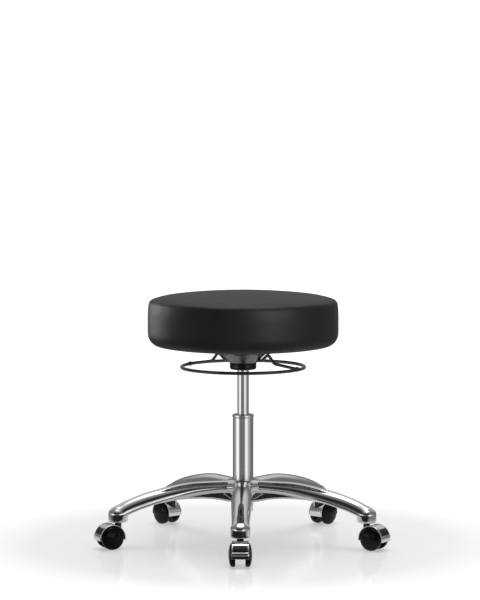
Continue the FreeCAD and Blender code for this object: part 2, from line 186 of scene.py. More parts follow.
def copy_of(ob, name):
    c = bpy.data.objects.new(name, ob.data.copy())
    bpy.context.scene.collection.objects.link(c)
    return c


def drop(*obs):
    for o in obs:
        me = o.data
        bpy.data.objects.remove(o, do_unlink=True)
        if me and not me.users:
            bpy.data.meshes.remove(me)


def apply(ob):
    dg = bpy.context.evaluated_depsgraph_get()
    me = bpy.data.meshes.new_from_object(ob.evaluated_get(dg), depsgraph=dg)
    ob.modifiers.clear()
    old = ob.data
    ob.data = me
    if not old.users:
        bpy.data.meshes.remove(old)
    return ob


def joined(name, obs, material):
    verts, faces = [], []
    for o in obs:
        off = len(verts)
        verts += [tuple(v.co) for v in o.data.vertices]
        faces += [tuple(off + i for i in p.vertices) for p in o.data.polygons]
    out = obj_from(name, verts, faces, material, 1.0)
    drop(*obs)
    return out


def boolean(ob, cutters, op="DIFFERENCE"):
    for c in cutters:
        m = ob.modifiers.new("b", "BOOLEAN")
        m.operation = op
        m.solver = "EXACT"
        m.object = c
        apply(ob)
    drop(*cutters)
    return ob


def bevelled(ob, width, seg=2, angle=35.0):
    m = ob.modifiers.new("bv", "BEVEL")
    m.width = width * MM
    m.segments = seg
    m.limit_method = "ANGLE"
    m.angle_limit = math.radians(angle)
    m.harden_normals = False
    return smooth(apply(ob), 44)


def remeshed(ob, voxel, smooth_iter=6, factor=0.5):
    m = ob.modifiers.new("rm", "REMESH")
    m.mode = "VOXEL"
    m.voxel_size = voxel * MM
    m.adaptivity = 0.0
    if smooth_iter:
        s = ob.modifiers.new("sm", "SMOOTH")
        s.factor = factor
        s.iterations = smooth_iter
    apply(ob)
    for p in ob.data.polygons:
        p.use_smooth = True
    return ob


# ---------------------------------------------------------------- materials
class Mat:
    """A Principled material with a few shorthand node calls."""

    def __init__(self, name):
        self.m = bpy.data.materials.new(name)
        self.m.use_nodes = True
        self.t = self.m.node_tree
        self.b = self.t.nodes["Principled BSDF"]
        self.co = self.n("ShaderNodeTexCoord").outputs["Object"]

    def n(self, kind, **kw):
        nd = self.t.nodes.new(kind)
        for k, v in kw.items():
            setattr(nd, k, v)
        return nd

    def link(self, a, b):
        self.t.links.new(a, b)

    def noise(self, scale, detail=4.0, rough=0.55, vec=None, dist=0.0):
        nd = self.n("ShaderNodeTexNoise")
        nd.inputs["Scale"].default_value = scale
        nd.inputs["Detail"].default_value = detail
        nd.inputs["Roughness"].default_value = rough
        nd.inputs["Distortion"].default_value = dist
        self.link(vec or self.co, nd.inputs["Vector"])
        return nd.outputs["Fac"]

    def voronoi(self, scale, feature="F1", vec=None, out="Distance"):
        nd = self.n("ShaderNodeTexVoronoi", feature=feature)
        nd.inputs["Scale"].default_value = scale
        self.link(vec or self.co, nd.inputs["Vector"])
        return nd.outputs[out]

    def stretched(self, x, y, z):
        mp = self.n("ShaderNodeMapping")
        mp.inputs["Scale"].default_value = (x, y, z)
        self.link(self.co, mp.inputs["Vector"])
        return mp.outputs["Vector"]

    def ranged(self, src, a, b, c, d):
        nd = self.n("ShaderNodeMapRange")
        for k, v in zip(("From Min", "From Max", "To Min", "To Max"), (a, b, c, d)):
            nd.inputs[k].default_value = v
        self.link(src, nd.inputs["Value"])
        return nd.outputs["Result"]

    def math(self, op, a, b=None):
        nd = self.n("ShaderNodeMath", operation=op)
        for i, v in enumerate((a, b)):
            if v is None:
                continue
            if isinstance(v, (int, float)):
                nd.inputs[i].default_value = v
            else:
                self.link(v, nd.inputs[i])
        return nd.outputs[0]

    def mix(self, fac, a, b):
        nd = self.n("ShaderNodeMix", data_type="RGBA")
        for sock, v in ((nd.inputs[0], fac), (nd.inputs[6], a), (nd.inputs[7], b)):
            if isinstance(v, (int, float)):
                sock.default_value = v
            elif isinstance(v, tuple):
                sock.default_value = (*v, 1.0)
            else:
                self.link(v, sock)
        return nd.outputs[2]

    def bump(self, height, strength, dist, after=None):
        nd = self.n("ShaderNodeBump")
        nd.inputs["Strength"].default_value = strength
        nd.inputs["Distance"].default_value = dist
        self.link(height, nd.inputs["Height"])
        if after is not None:
            self.link(after, nd.inputs["Normal"])
        return nd.outputs["Normal"]

    def put(self, **kw):
        for k, v in kw.items():
            sock = self.b.inputs[k.replace("_", " ")]
            if hasattr(v, "links") or hasattr(v, "is_linked"):
                self.link(v, sock)
            else:
                sock.default_value = (*v, 1.0) if isinstance(v, tuple) and len(v) == 3 else v
        return self


def vinyl():
    k = Mat("seat_vinyl")
    big = k.noise(9.0, 3.0, 0.5)
    fine = k.noise(420.0, 3.0, 0.6)
    cells = k.voronoi(700.0, "DISTANCE_TO_EDGE")
    pores = k.voronoi(1500.0)
    col = k.mix(k.ranged(big, 0.35, 0.65, 0.0, 1.0), (0.0068, 0.0078, 0.0072), (0.0087, 0.0098, 0.0091))
    col = k.mix(k.ranged(fine, 0.45, 0.7, 0.0, 0.5), col, (0.0160, 0.0172, 0.0162))
    rough = k.math("ADD", k.ranged(big, 0.3, 0.7, 0.38, 0.46), k.ranged(fine, 0.3, 0.7, -0.03, 0.05))
    grain = k.math("ADD", k.ranged(cells, 0.0, 0.12, 0.0, 1.0), k.ranged(pores, 0.0, 0.5, 0.0, 0.4))
    nrm = k.bump(grain, 0.24, 0.00026)
    nrm = k.bump(k.noise(28.0, 2.0, 0.5), 0.10, 0.0016, nrm)
    k.put(Base_Color=col, Roughness=rough, Normal=nrm)
    k.b.inputs["Specular IOR Level"].default_value = 0.17
    k.b.inputs["Sheen Weight"].default_value = 0.03
    k.b.inputs["Sheen Roughness"].default_value = 0.5
    return k.m


def chrome(name="bright_chrome", tint=(0.86, 0.87, 0.875), rough=0.045):
    k = Mat(name)
    smudge = k.noise(14.0, 4.0, 0.6, dist=0.6)
    scratch = k.noise(900.0, 2.0, 0.5, vec=k.stretched(1.0, 1.0, 0.05))
    col = k.mix(k.ranged(smudge, 0.4, 0.7, 0.0, 0.3), tint, tuple(c * 0.93 for c in tint))
    r = k.math("ADD", k.ranged(smudge, 0.35, 0.75, rough, rough + 0.045), k.ranged(scratch, 0.55, 0.75, 0.0, 0.02))
    k.put(Base_Color=col, Metallic=1.0, Roughness=r, Normal=k.bump(k.noise(60.0, 2.0, 0.5), 0.02, 0.0006))
    return k.m


def gloss_black(name, base=(0.009, 0.009, 0.009), rough=0.14, peel=0.05, coat=0.4, spec=0.5):
    k = Mat(name)
    big = k.noise(30.0, 3.0, 0.6)
    dust = k.noise(260.0, 3.0, 0.7)
    col = k.mix(k.ranged(dust, 0.55, 0.8, 0.0, 0.5), base, tuple(c * 2.2 for c in base))
    r = k.math("ADD", k.ranged(big, 0.35, 0.7, rough, rough + 0.08), k.ranged(dust, 0.5, 0.8, 0.0, 0.06))
    k.put(Base_Color=col, Roughness=r, Normal=k.bump(k.noise(380.0, 2.0, 0.5), peel, 0.0005))
    k.b.inputs["Coat Weight"].default_value = coat
    k.b.inputs["Coat Roughness"].default_value = 0.06
    k.b.inputs["Specular IOR Level"].default_value = spec
    return k.m


def satin_black(name="satin_black_plastic", rough=0.34):
    k = Mat(name)
    tex = k.noise(1100.0, 3.0, 0.65)
    big = k.noise(22.0, 2.0, 0.5)
    col = k.mix(k.ranged(big, 0.4, 0.6, 0.0, 1.0), (0.0045, 0.0045, 0.0045), (0.0065, 0.0065, 0.0065))
    k.put(Base_Color=col, Roughness=k.ranged(tex, 0.3, 0.7, rough, rough + 0.12), Normal=k.bump(tex, 0.12, 0.0002))
    return k.m


def grey_metal():
    k = Mat("satin_grey_housing")
    flake = k.voronoi(2600.0)
    soft = k.noise(18.0, 3.0, 0.5)
    col = k.mix(k.ranged(flake, 0.0, 0.6, 0.0, 1.0), (0.25, 0.25, 0.247), (0.17, 0.17, 0.168))
    k.put(Base_Color=col, Metallic=0.9, Roughness=k.ranged(soft, 0.35, 0.7, 0.20, 0.30), Normal=k.bump(k.noise(500.0, 2.0, 0.5), 0.04, 0.0003))
    return k.m


def zinc():
    k = Mat("zinc_plate")
    sp = k.voronoi(260.0, out="Color")
    hs = k.n("ShaderNodeSeparateColor")
    k.link(sp, hs.inputs[0])
    col = k.mix(hs.outputs[0], (0.56, 0.56, 0.54), (0.66, 0.66, 0.64))
    k.put(Base_Color=col, Metallic=1.0, Roughness=k.ranged(k.noise(90.0), 0.3, 0.7, 0.26, 0.42), Normal=k.bump(k.noise(700.0, 2.0), 0.06, 0.0002))
    return k.m


def ground_steel():
    k = Mat("ground_steel")
    lines = k.noise(1600.0, 2.0, 0.5, vec=k.stretched(0.1, 0.1, 1.0))
    k.put(Base_Color=k.mix(lines, (0.62, 0.62, 0.62), (0.72, 0.72, 0.72)), Metallic=1.0, Roughness=k.ranged(lines, 0.3, 0.7, 0.16, 0.3), Normal=k.bump(lines, 0.05, 0.0001))
    return k.m


def powder_black():
    k = Mat("powder_coat_black")
    peel = k.noise(600.0, 3.0, 0.6)
    k.put(Base_Color=k.mix(peel, (0.012, 0.012, 0.012), (0.022, 0.022, 0.022)), Roughness=k.ranged(peel, 0.3, 0.7, 0.38, 0.55), Normal=k.bump(peel, 0.25, 0.0003))
    return k.m


def felt():
    k = Mat("dust_cover_felt")
    f1 = k.noise(900.0, 4.0, 0.7, vec=k.stretched(1.0, 0.25, 1.0))
    f2 = k.noise(900.0, 4.0, 0.7, vec=k.stretched(0.25, 1.0, 1.0))
    web = k.math("MAXIMUM", f1, f2)
    emb = k.voronoi(330.0)
    k.put(Base_Color=k.mix(k.ranged(web, 0.45, 0.75, 0.0, 1.0), (0.11, 0.11, 0.108), (0.20, 0.20, 0.195)), Roughness=0.9, Normal=k.bump(k.math("ADD", web, k.ranged(emb, 0.0, 0.5, 0.0, 0.6)), 0.5, 0.0005))
    k.b.inputs["Sheen Weight"].default_value = 0.25
    return k.m


def plywood():
    k = Mat("birch_plywood")
    wv = k.n("ShaderNodeTexWave", wave_type="BANDS", bands_direction="X")
    wv.inputs["Scale"].default_value = 14.0
    wv.inputs["Distortion"].default_value = 5.0
    k.link(k.stretched(1.0, 0.12, 1.0), wv.inputs["Vector"])
    k.put(Base_Color=k.mix(wv.outputs["Fac"], (0.50, 0.36, 0.21), (0.64, 0.49, 0.32)), Roughness=0.6, Normal=k.bump(wv.outputs["Fac"], 0.1, 0.0003))
    return k.m


M = {
    "vinyl": vinyl(),
    "chrome": chrome(),
    "rod": chrome("rod_chrome", (0.88, 0.89, 0.89), 0.085),
    "base_chrome": chrome("base_chrome", (0.84, 0.85, 0.855), 0.05),
    "hood_chrome": chrome("hood_chrome", (0.86, 0.87, 0.875), 0.06),
    "enamel": gloss_black("lever_enamel", (0.012, 0.012, 0.012), rough=0.15, peel=0.03, coat=1.0),
    "cap": gloss_black("gloss_black_cap", (0.005, 0.005, 0.005), rough=0.1, peel=0.03, coat=0.15, spec=0.3),
    "nylon": gloss_black("gloss_black_nylon", (0.003, 0.003, 0.003), rough=0.11, peel=0.03, coat=0.0, spec=0.2),
    "satin": satin_black(),
    "grey": grey_metal(),
    "zinc": zinc(),
    "steel": ground_steel(),
    "powder": powder_black(),
    "felt": felt(),
    "ply": plywood(),
}
FINISH = {
    "vinyl": "vinyl", "foam": "vinyl", "plywood": "ply", "felt": "felt", "zinc_steel": "zinc", "black_steel": "powder",
    "grey_steel": "grey", "black_gloss_plastic": "cap", "chrome": "chrome", "bright_steel": "steel", "black_plastic": "satin",
    "black_enamel": "enamel", "chromed_aluminium": "base_chrome", "chromed_hood": "hood_chrome", "black_nylon": "nylon",
}
M["enamel"].node_tree.nodes["Principled BSDF"].inputs["Specular IOR Level"].default_value = 0.9
for sp in frame["record"]["subparts"]:
    o = nodes[sp["node"]]
    o.data.materials.clear()
    o.data.materials.append(M[FINISH[sp["material_slot"]]])


def piece(ob, body, slot, *replaced):
    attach(ob, body)
    if replaced:
        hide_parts(*replaced)
    return ob


# ------------------------------------------------------------------ cushion
def cushion():
    """The seat pad: a crowned disc, blown up as cloth, then trimmed to its size."""
    R, Z0, Z1 = 230.0, 473.0, 602.0
    inset = 1.6
    prof = [(0.0, Z1 - inset)]
    for i in range(1, 25):
        r = 214.0 * i / 24
        prof.append((r, Z1 - inset - 15.0 * (r / 214.0) ** 2.2))
    top_z = prof[-1][1]
    for i in range(1, 7):
        a = math.pi / 2 * (1 - i / 6)
        prof.append((R - inset - 13.0 + 13.0 * math.cos(a), top_z - 12.0 + 12.0 * math.sin(a)))
    for i in range(1, 12):
        prof.append((R - inset, top_z - 12.0 + (504.0 - top_z + 12.0) * i / 11))
    for i in range(1, 10):
        a = -math.pi / 2 * i / 9
        prof.append((199.0 + (31.0 - inset) * math.cos(a), 504.0 + (31.0 - 1.0) * math.sin(a)))
    for r in (185.0, 150.0, 100.0, 50.0, 0.0):
        prof.append((r, 474.0))
    ob = lathe("seat_cushion", prof, M["vinyl"], seg=144, closed=False)
    ob = remeshed(ob, 4.0, 0)
    rest = np.array([v.co for v in ob.data.vertices])
    vg = ob.vertex_groups.new(name="pin")
    for v in ob.data.vertices:
        low = max(0.0, min(1.0, (0.482 - v.co.z) / 0.006))
        if low > 0:
            vg.add([v.index], low, "REPLACE")
    c = ob.modifiers.new("cloth", "CLOTH")
    s = c.settings
    s.quality = 5
    s.mass = 0.3
    s.tension_stiffness = 40
    s.compression_stiffness = 40
    s.shear_stiffness = 20
    s.bending_stiffness = 18
    s.use_pressure = True
    s.uniform_pressure_force = 4.0
    s.effector_weights.gravity = 0.0
    s.vertex_group_mass = "pin"
    c.collision_settings.use_collision = False
    sc = bpy.context.scene
    sc.frame_start, sc.frame_end = 1, 20
    for f in range(1, 21):
        sc.frame_set(f)
    apply(ob)
    sc.frame_set(1)
    pos = np.array([v.co for v in ob.data.vertices])
    if len(pos) == len(rest):
        d = pos - rest
        ln = np.linalg.norm(d, axis=1, keepdims=True)
        cap = 0.0032
        d *= np.minimum(1.0, cap / np.maximum(ln, 1e-9))
        rho = np.maximum(np.hypot(rest[:, 0], rest[:, 1]), 1e-6)
        er = rest[:, :2] / rho[:, None]
        dr, dz = (d[:, :2] * er).sum(1), d[:, 2]
        # how far along the outline each point lies: over the top, then down the side
        along = np.where(rest[:, 2] > 0.583, rho, 0.232 + (0.583 - rest[:, 2]) + np.where(rest[:, 2] < 0.478, 0.23 - rho, 0.0))
        cell = np.clip((along / 0.004).astype(int), 0, 199)
        cnt = np.maximum(np.bincount(cell, minlength=200), 1)
        win = np.array([1.0, 2.0, 3.0, 2.0, 1.0]) / 9.0
        mr = np.convolve(np.pad(np.bincount(cell, dr, 200) / cnt, 2, mode="edge"), win, "valid")[cell]
        mz = np.convolve(np.pad(np.bincount(cell, dz, 200) / cnt, 2, mode="edge"), win, "valid")[cell]
        local = 0.22
        d[:, :2] = d[:, :2] * local + er * (mr * (1 - local))[:, None]
        d[:, 2] = dz * local + mz * (1 - local)
        pos = rest + d
    # the cover is drawn tight over the foam: it can't pass the pad's own size
    rr = np.hypot(pos[:, 0], pos[:, 1])
    k = np.minimum(1.0, 0.2312 / np.maximum(rr, 1e-9))
    pos[:, 0] *= k
    pos[:, 1] *= k
    pos[:, 2] = np.clip(pos[:, 2], 0.4726, 0.6030)
    for v, p in zip(ob.data.vertices, pos):
        v.co = p
    sm = ob.modifiers.new("sm", "SMOOTH")
    sm.factor, sm.iterations = 0.5, 4
    sub = ob.modifiers.new("sub", "SUBSURF")
    sub.levels = sub.render_levels = 1
    apply(ob)
    for p in ob.data.polygons:
        p.use_smooth = True
    return ob


seat = cushion()
piece(seat, "seat", "vinyl", "seat_cover", "seat_foam")

# --------------------------------------------------- bell housing, cap, tube
bell = lathe(
    "housing_bell",
    [(19.1, 434.0), (33.6, 434.0, 1.0), (52.6, 452.6, 3.0), (55.0, 454.0, 1.2), (57.0, 454.7, 1.0), (57.0, 458.0, 1.0), (55.4, 459.0, 1.2), (63.6, 467.6, 2.5), (72.0, 467.6, 1.0), (72.0, 470.38, 0.3), (62.6, 470.38), (52.6, 459.3, 1.5), (52.6, 455.8, 1.0), (32.7, 436.0, 1.0), (19.1, 436.0)],
    M["grey"], 144, n=5,
)


def prism(name, prof, u0, u1, material=None):
    """A (v, z) outline pushed along u from u0 to u1."""
    m = len(prof)
    vs = [(u, p[0], p[1]) for u in (u0, u1) for p in prof]
    fs = [(k, (k + 1) % m, m + (k + 1) % m, m + k) for k in range(m)] + [list(range(m))[::-1], [m + k for k in range(m)]]
    return smooth(obj_from(name, vs, fs, material))


cut, lugs = [], []
for a in (SPOKE_AZ, SPOKE_AZ + 180):
    cut.append(turn(prism("cut", rounded([(-6.5, 435.4, 0.8), (6.5, 435.4, 0.8), (6.5, 449.8, 0.8), (-6.5, 449.8, 0.8)], 4), 30.0, 56.0), a))
    lugs.append(turn(prism("lug", rounded([(-4.5, 456.4, 1.5), (4.5, 456.4, 1.5), (4.5, 467.7), (-4.5, 467.7)], 5), 62.3, 71.0), a))
bell = boolean(bell, cut)
smooth(bell, 34)
lugs = bevelled(joined("housing_lugs", lugs, M["grey"]), 0.4, 2, 50)
piece(lugs, "seat", "grey_steel")
piece(bell, "seat", "grey_steel", "bell_housing")

cap = lathe(
    "lower_cap",
    [(14.4, 417.0, 0.6), (32.0, 417.0, 5.6), (32.0, 433.98, 0.4), (29.8, 433.98), (29.8, 419.5, 2.0), (14.4, 419.5, 0.5)],
    M["cap"], 144, n=8,
)
piece(cap, "seat", "black_gloss_plastic", "hub_cap")

gas = lathe("gas_cylinder", [(12.02, 192.0), (14.0, 192.0, 0.8), (14.0, 410.0), (13.3, 455.0, 0.3), (12.02, 455.0)], M["rod"], 96)
piece(gas, "seat", "chrome", "gas_tube")

tube = lathe(
    "column_sleeve",
    [(4.1, 75.0), (24.3, 75.0, 1.0), (24.3, 97.0), (25.0, 150.0), (25.0, 301.3, 0.5), (24.2, 302.98, 0.2), (23.02, 302.98), (23.02, 80.0), (4.1, 80.0)],
    M["chrome"], 128,
)
piece(tube, "base", "chrome", "column_tube")
coll = lathe(
    "column_top_ring",
    [(14.6, 309.0, 0.8), (26.0, 309.0, 1.6), (26.0, 303.0, 0.7), (23.0, 303.0), (22.96, 299.05), (20.0, 299.05), (20.0, 305.0), (14.6, 305.0)],
    M["chrome"], 128, n=8,
)
piece(coll, "base", "chrome", "column_collar")

# --------------------------------------------------------------- ring lever
pts = []
for i in range(288):
    t = 2 * math.pi * i / 288
    pts.append((147.0 * math.cos(t), 147.0 * math.sin(t), 423.0))
ring = tube_along("ring_lever", pts, 4.0, M["enamel"], 32, closed=True)
piece(ring, "lever_ring", "black_enamel", "lever_ring")


def bent(points, step=1.2):
    """Straight runs and tangent arcs through (u, z, radius) points."""
    P = [Vector((p[0], 0, p[1])) for p in points]
    out = [P[0]]
    for i in range(1, len(P) - 1):
        a, b = (P[i - 1] - P[i]).normalized(), (P[i + 1] - P[i]).normalized()
        half = math.acos(a.dot(b)) / 2
        r = points[i][2]
        t = r / math.tan(half)
        c = P[i] + (a + b).normalized() * (r / math.sin(half))
        s, e = P[i] + a * t - c, P[i] + b * t - c
        ang = math.acos(max(-1, min(1, s.normalized().dot(e.normalized()))))
        n = max(6, int(ang * r / step))
        ax = s.cross(e).normalized()
        q0 = out[-1]
        q1 = c + s
        k = max(1, int((q1 - q0).length / 6))
        for j in range(1, k):
            out.append(q0.lerp(q1, j / k))
        for j in range(n + 1):
            out.append(c + Matrix.Rotation(ang * j / n, 3, ax) @ s)
    out.append(P[-1])
    return out


spokes = []
for a in (SPOKE_AZ, SPOKE_AZ + 180.0):
    line = bent([(144.6, 423.8, 0), (83.0, 433.6, 12.0), (66.3, 455.47, 6.0), (47.6, 437.6, 5.5), (36.6, 446.0, 4.5), (33.2, 446.0, 0)], 0.6)
    wire = tube_along("wire", line, 3.75, None, 28)
    pin = tube_along("pin", [(33.4, 0, 446.0), (30.0, 0, 446.0), (27.0, 0, 446.0), (26.2, 0, 446.0)], lambda i: 3.0 if i < 3 else 2.6, None, 24)
    spokes += [turn(wire, a), turn(pin, a)]
rods = joined("lever_spoke_rods", spokes, M["enamel"])
smooth(rods, 50)
piece(rods, "lever_ring", "black_enamel", "lever_spokes")

# weld beads: rippled collars where a spoke meets the ring
beads = []
for a in (SPOKE_AZ, SPOKE_AZ + 180.0):
    bm = bmesh.new()
    bmesh.ops.create_icosphere(bm, subdivisions=4, radius=1.0)
    for v in bm.verts:
        n = v.co.normalized()
        rip = 1.0 + 0.05 * math.sin(9.0 * math.atan2(n.z, n.y)) + 0.05 * noise.noise(n * 2.3)
        v.co = Vector((n.x * 5.4 * rip, n.y * 7.2 * rip, n.z * 5.4 * rip)) + Vector((142.6, 0, 424.2))
    me = bpy.data.meshes.new("bead")
    bm.to_mesh(me)
    bm.free()
    me.transform(Matrix.Scale(MM, 4))
    b = bpy.data.objects.new("bead", me)
    bpy.context.scene.collection.objects.link(b)
    beads.append(turn(b, a))
beads = joined("lever_weld_beads", beads, M["enamel"])
smooth(beads, 60)
piece(beads, "lever_ring", "black_enamel")

# ----------------------------------------------------------------- star base
LEG = np.array([
    # r, ridge z, half width, rim bottom z, web bottom z
    (14, 150.8, 21.0, 127.0, 96.6),
    (42, 150.9, 21.8, 127.0, 100.5),
    (68, 151.0, 22.4, 127.6, 106.0),
    (93, 151.0, 23.0, 126.4, 109.3),
    (119, 150.8, 23.6, 124.2, 110.8),
    (144, 148.8, 24.3, 120.6, 110.8),
    (169, 145.2, 24.5, 115.6, 109.4),
    (194, 140.4, 24.1, 110.4, 106.6),
    (216, 135.4, 23.4, 104.8, 102.9),
    (242, 129.0, 22.5, 97.0, 96.4),
    (267, 121.0, 21.4, 89.0, 88.6),
    (292, 111.5, 21.2, 79.0, 78.8),
    (309.5, 102.8, 23.2, 70.0, 70.0),
])


def spline(x, xs, ys):
    """Smooth monotone-ish interpolation (Catmull-Rom on uneven knots)."""
    i = int(np.clip(np.searchsorted(xs, x) - 1, 0, len(xs) - 2))
    h = xs[i + 1] - xs[i]
    t = (x - xs[i]) / h
    m0 = (ys[i + 1] - ys[max(i - 1, 0)]) / (xs[i + 1] - xs[max(i - 1, 0)])
    m1 = (ys[min(i + 2, len(xs) - 1)] - ys[i]) / (xs[min(i + 2, len(xs) - 1)] - xs[i])
    return (2 * t**3 - 3 * t**2 + 1) * ys[i] + (t**3 - 2 * t**2 + t) * h * m0 + (-2 * t**3 + 3 * t**2) * ys[i + 1] + (t**3 - t**2) * h * m1


def leg_outline(r):
    zt, w, zb, zw = (spline(min(r, 309.5), LEG[:, 0], LEG[:, k]) for k in (1, 2, 3, 4))
    if r > 309.5:
        d = r - 309.5
        w = math.sqrt(max(0.0, 23.2**2 - d * d))
        zt = float(np.interp(r, [309.5, 316, 322, 327, 330, 332, 332.6], [102.8, 100.6, 97.4, 93.2, 89.6, 85.4, 82.0]))
        zb = zw = 70.0
    q = min(1.0, w / 20.0)
    ww = max(0.5, min(15.0, w - 4.0))
    low = min(5.5, 0.35 * (zt - zb))
    zs = zb + low
    half = []
    for k in range(19):
        t = math.radians(90.0 * k / 18)
        half.append((w * math.sin(t) ** 0.96, zs + (zt - zs) * math.cos(t) ** 0.92 if k < 18 else zs))
    half += [
        (w, zb + low * 0.5), (w - 0.8 * q, zb + low * 0.15), (w - 2.4 * q, zb), (w - 4.0 * q, zb + 0.5),
        (min(ww + 1.6, w - 4.2 * q), zb + 0.8), (ww + 0.4, zb - 0.2), (ww, min(zb - 1.0, zw + 4.0)) if zb - zw > 3 else (ww, zb + 0.2),
        (ww, zw + 1.5) if zb - zw > 3 else (ww, zb), (ww - 1.2, zw),
    ]
    inner = [(max(0.3, ww - 4.5), zw), (max(0.25, ww - 5.0), zw + 1.5), (max(0.2, ww - 5.6), max(zw + 2.0, zt - 17.0)), (max(0.1, ww - 8.0), max(zw + 2.2, zt - 14.0))]
    return half, inner


def leg_mesh():
    rs = list(np.linspace(14, 300, 130)) + list(np.linspace(302, 332.6, 24))
    verts, faces, n = [], [], None
    hollow_a, hollow_b = 46.0, 280.0
    for r in rs:
        half, inner = leg_outline(r)
        if r < hollow_a or r > hollow_b:
            zw = half[-1][1]
            inner = [(x, zw - 0.0) for x, z in inner]
        right = half + inner
        loop = right + [(-x, z) for x, z in reversed(right)][:-1]
        n = len(loop)
        verts += [(r, y, z) for y, z in loop]
    for i in range(len(rs) - 1):
        for k in range(n):
            l = (k + 1) % n
            faces.append((i * n + k, i * n + l, (i + 1) * n + l, (i + 1) * n + k))
    faces.append(list(range(n)))
    faces.append([(len(rs) - 1) * n + k for k in range(n)][::-1])
    return verts, faces


def star():
    parts, plain = [], []
    v, f = leg_mesh()
    for a in LEG_AZ:
        parts.append(turn(obj_from("leg", v, f, None), a))
        plain.append(turn(obj_from("leg_plain", v, f, None), a))
    plain = joined("legs_plain", plain, None)
    for a in LEG_AZ:
        b = lathe("boss", [(0, 63.2), (21.6, 63.2, 1.2), (23.2, 65.2, 1.0), (23.2, 86.0, 3.0), (20.6, 91.0, 3.0), (12.4, 97.0, 6.0), (0, 101.0)], None, 72)
        x, y = STEM_CIRCLE * math.cos(math.radians(a)), STEM_CIRCLE * math.sin(math.radians(a))
        parts.append(turn(b, 0, x, y))
    parts.append(lathe("hub", [(0, 96.6), (32.0, 96.6, 1.5), (33.5, 120.0), (40.0, 127.0, 4.0), (51.0, 131.0, 3.0), (52.0, 140.0, 5.0), (44.0, 148.2, 4.0), (34.0, 149.6, 2.0), (31.0, 151.8, 1.0), (0, 151.8)], None, 96))
    ob = joined("star_base_casting", parts, M["base_chrome"])
    ob = remeshed(ob, 1.5, 16, 0.5)
    # away from the hub and the bosses the skin goes back onto the drawn leg, so it stays fair
    vg = ob.vertex_groups.new(name="leg")
    for v in ob.data.vertices:
        r = math.hypot(v.co.x, v.co.y) / MM
        wgt = min(1.0, max(0.0, (r - 62.0) / 30.0)) * min(1.0, max(0.0, (300.0 - r) / 14.0))
        zb = spline(min(max(r, 14.0), 309.5), LEG[:, 0], LEG[:, 3])
        wgt *= min(1.0, max(0.0, (v.co.z / MM - zb - 1.5) / 4.0))
        if wgt > 0:
            vg.add([v.index], wgt, "REPLACE")
    sw = ob.modifiers.new("sw", "SHRINKWRAP")
    sw.target = plain
    sw.wrap_method = "NEAREST_SURFACEPOINT"
    sw.vertex_group = "leg"
    sm = ob.modifiers.new("sm2", "SMOOTH")
    sm.factor, sm.iterations = 0.5, 3
    apply(ob)
    drop(plain)
    core = lathe("core", [(0, 90.0), (24.4, 90.0), (24.4, 97.0), (25.1, 150.0), (25.1, 156.0), (0, 156.0)], None, 96)
    cuts = [core]
    for a in LEG_AZ:
        x, y = STEM_CIRCLE * math.cos(math.radians(a)), STEM_CIRCLE * math.sin(math.radians(a))
        cuts.append(turn(lathe("sock", [(0, 60.0), (8.05, 60.0), (8.05, 86.0), (0, 86.0)], None, 40), 0, x, y))
    ob = boolean(ob, cuts)
    for p in ob.data.polygons:
        p.use_smooth = True
    smooth(ob, 50)
    return ob


base = star()
piece(base, "base", "chromed_aluminium", "star_base")


# ------------------------------------------------------------------ casters
def hood_radius(phi):
    def step(a, w=0.9):
        return max(0.0, min(1.0, 0.5 + (phi - a) / (2 * w)))

    r = 32.3
    r += 0.7 * (1 - step(17.0)) + 0.7 * step(163.0)
    r += 0.55 * step(48.6) * (1 - step(56.4))
    return r


def hood_mesh():
    phis = sorted(set(list(np.linspace(-9, 189, 100)) + [16.0, 16.6, 17.4, 18.0, 47.6, 48.2, 49.0, 49.6, 55.4, 56.0, 56.8, 57.4, 162.0, 162.6, 163.4, 164.0]))
    prof_y = [(-20.0, 0.0), (-20.0, 0.55), (-19.75, 0.85), (-19.2, 1.0), (-15.0, 1.0), (-5.0, 1.0), (5.0, 1.0), (15.0, 1.0), (19.2, 1.0), (19.75, 0.85), (20.0, 0.55), (20.0, 0.0)]
    verts, faces = [], []
    n = len(prof_y)
    for p in phis:
        c, s = math.cos(math.radians(p)), math.sin(math.radians(p))
        ro = hood_radius(p)
        for y, k in prof_y:
            r = 30.5 + (ro - 30.5) * k
            verts.append((TRAIL + r * c, y, WHEEL_R + r * s))
    for i in range(len(phis) - 1):
        for k in range(n):
            l = (k + 1) % n
            faces.append((i * n + k, i * n + l, (i + 1) * n + l, (i + 1) * n + k))
    faces.append(list(range(n))[::-1])
    faces.append([(len(phis) - 1) * n + k for k in range(n)])
    ob = smooth(obj_from("hood", verts, faces, M["hood_chrome"]), 40)
    # window: rounded at its lower corners, cut square to the shell
    pm = math.radians(32.5)
    out = Vector((math.cos(pm), 0, math.sin(pm)))
    up = Vector((-math.sin(pm), 0, math.cos(pm)))
    lo, hi = -8.6, 8.4
    prof = rounded([(-16.8, lo, 4.0), (16.8, lo, 4.0), (16.8, hi, 1.0), (-16.8, hi, 1.0)], 6)
    m = len(prof)
    ctr = Vector((TRAIL, 0, WHEEL_R))
    vs = []
    for d in (26.0, 37.0):
        vs += [tuple(ctr + out * d + up * q[1] + Vector((0, q[0], 0))) for q in prof]
    fs = [(k, (k + 1) % m, m + (k + 1) % m, m + k) for k in range(m)] + [list(range(m))[::-1], [m + k for k in range(m)]]
    win = smooth(obj_from("win", vs, fs, None))
    stem = lathe("stemhole", [(0, 30.0), (8.2, 30.0), (8.2, 64.0), (0, 64.0)], None, 48)
    ob = boolean(ob, [win, stem])
    return bevelled(ob, 0.28, 2, 50)


